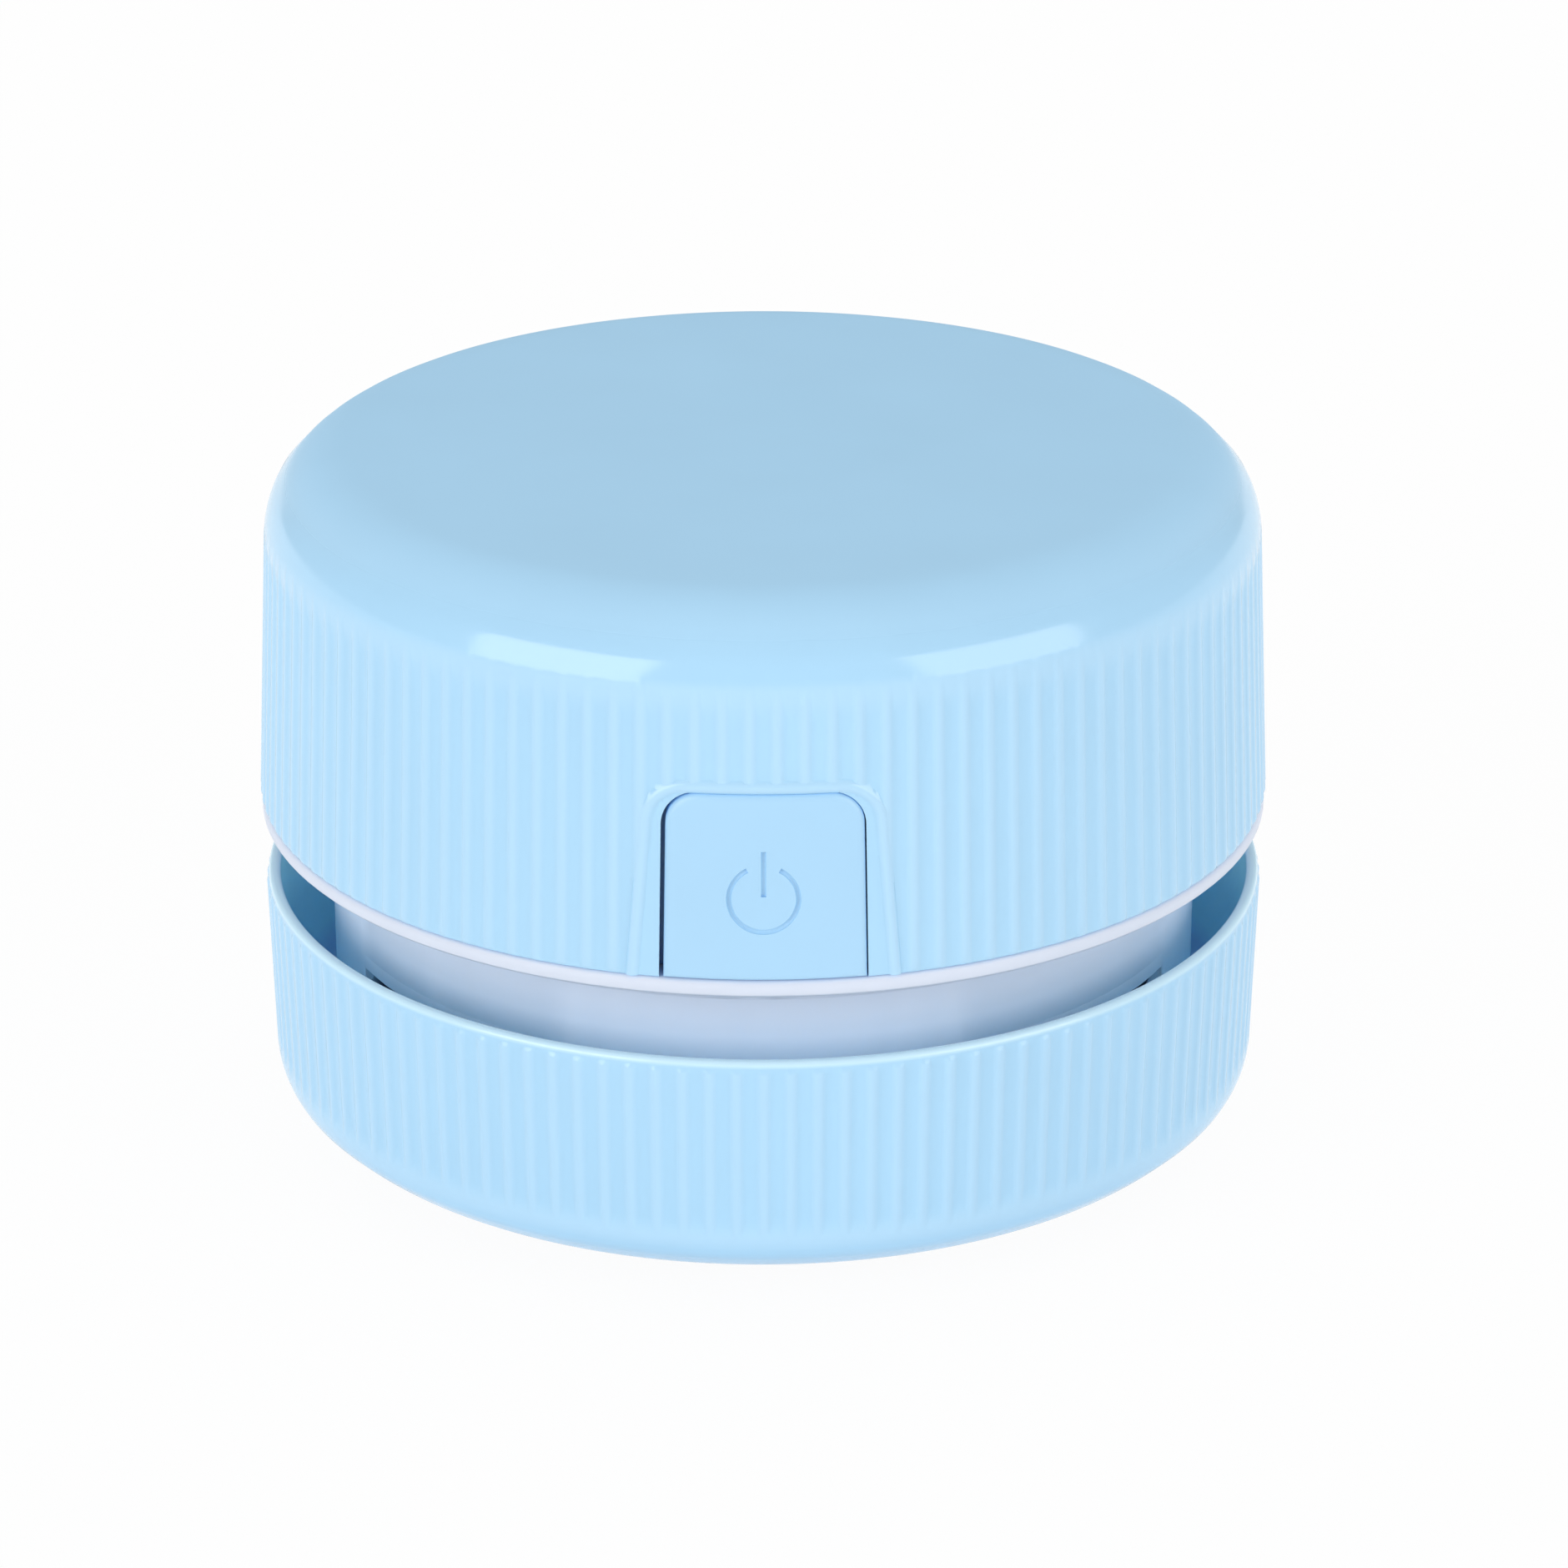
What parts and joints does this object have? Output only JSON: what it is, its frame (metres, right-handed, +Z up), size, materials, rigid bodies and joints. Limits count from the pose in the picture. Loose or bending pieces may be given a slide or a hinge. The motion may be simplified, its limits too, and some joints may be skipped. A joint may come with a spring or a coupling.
{
  "type": "desktop vacuum cleaner",
  "caption": "Palm-sized round desk vacuum: ribbed shell with a push button over a ribbed dust cup, white collar between them, bristles and an inlet below.",
  "frame": {"origin": "on the desk, in the middle of the ring of bristles", "axes": "+Z up through the middle of the top, -Y towards the button, +Y towards the charging socket"},
  "size_m": [0.086, 0.0859, 0.06],
  "materials": {
    "blue_shell": "satin moulded plastic, pale sky blue",
    "blue_button": "satin moulded plastic, pale sky blue",
    "blue_cup": "satin moulded plastic, pale sky blue",
    "white_plastic": "satin moulded plastic, white",
    "black_plastic": "matte moulded plastic, black",
    "fan_plastic": "matte moulded plastic, dark grey",
    "screw_steel": "zinc-plated steel",
    "shaft_steel": "ground steel",
    "can_steel": "drawn, plated sheet steel",
    "copper": "enamelled copper",
    "contact_brass": "plain brass",
    "magnet": "dark ferrite",
    "cell_wrap": "plain blue heat-shrink sleeve",
    "board_green": "green solder mask",
    "light_lens": "small moulded lens",
    "seal_rubber": "soft grey silicone",
    "filter_cloth": "white non-woven cloth",
    "bristles": "dark nylon bristles"
  },
  "bodies": {
    "cup": {"dust_cup": "blue_cup", "base_plate": "white_plastic", "base_screws": "screw_steel", "brush_tufts": "bristles"},
    "upper": {"top_shell": "blue_shell", "push_switch": "black_plastic", "chassis": "white_plastic", "deck_screws": "screw_steel", "fan_shroud": "white_plastic", "shroud_screws": "screw_steel", "seal_ring": "seal_rubber", "motor_can": "can_steel", "motor_end_cap": "white_plastic", "motor_terminals": "contact_brass", "motor_brushes": "contact_brass", "motor_magnets": "magnet", "motor_bushes": "contact_brass", "motor_screws": "screw_steel", "battery_cell": "cell_wrap", "battery_cradle": "white_plastic", "battery_tabs": "contact_brass", "circuit_board": "board_green", "board_screws": "screw_steel", "usb_socket": "can_steel", "usb_tongue": "black_plastic", "board_chips": "black_plastic", "charge_light": "light_lens"},
    "button": {"power_button": "blue_button", "switch_plunger": "white_plastic"},
    "rotor": {"impeller": "fan_plastic", "motor_shaft": "shaft_steel", "armature": "shaft_steel", "armature_windings": "copper", "commutator": "copper"},
    "filter": {"filter_frame": "white_plastic", "filter_cloth": "filter_cloth"}
  },
  "joints": [
    {"name": "lift_off", "type": "slide", "parent": "cup", "child": "upper", "axis": [0, 0, 1], "range_m": [0, 0.03]},
    {"name": "button_press", "type": "slide", "parent": "upper", "child": "button", "axis": [0, 1, 0], "range_m": [0, 0.0012], "stiffness_N_per_m": 300, "springref_m": -0.002},
    {"name": "fan_spin", "type": "hinge", "parent": "upper", "child": "rotor", "pos_m": [0, 0, 0], "axis": [0, 0, 1], "continuous": true},
    {"name": "filter_twist", "type": "hinge", "parent": "upper", "child": "filter", "pos_m": [0, 0, 0], "axis": [0, 0, 1], "range_deg": [0, 40]}
  ]
}
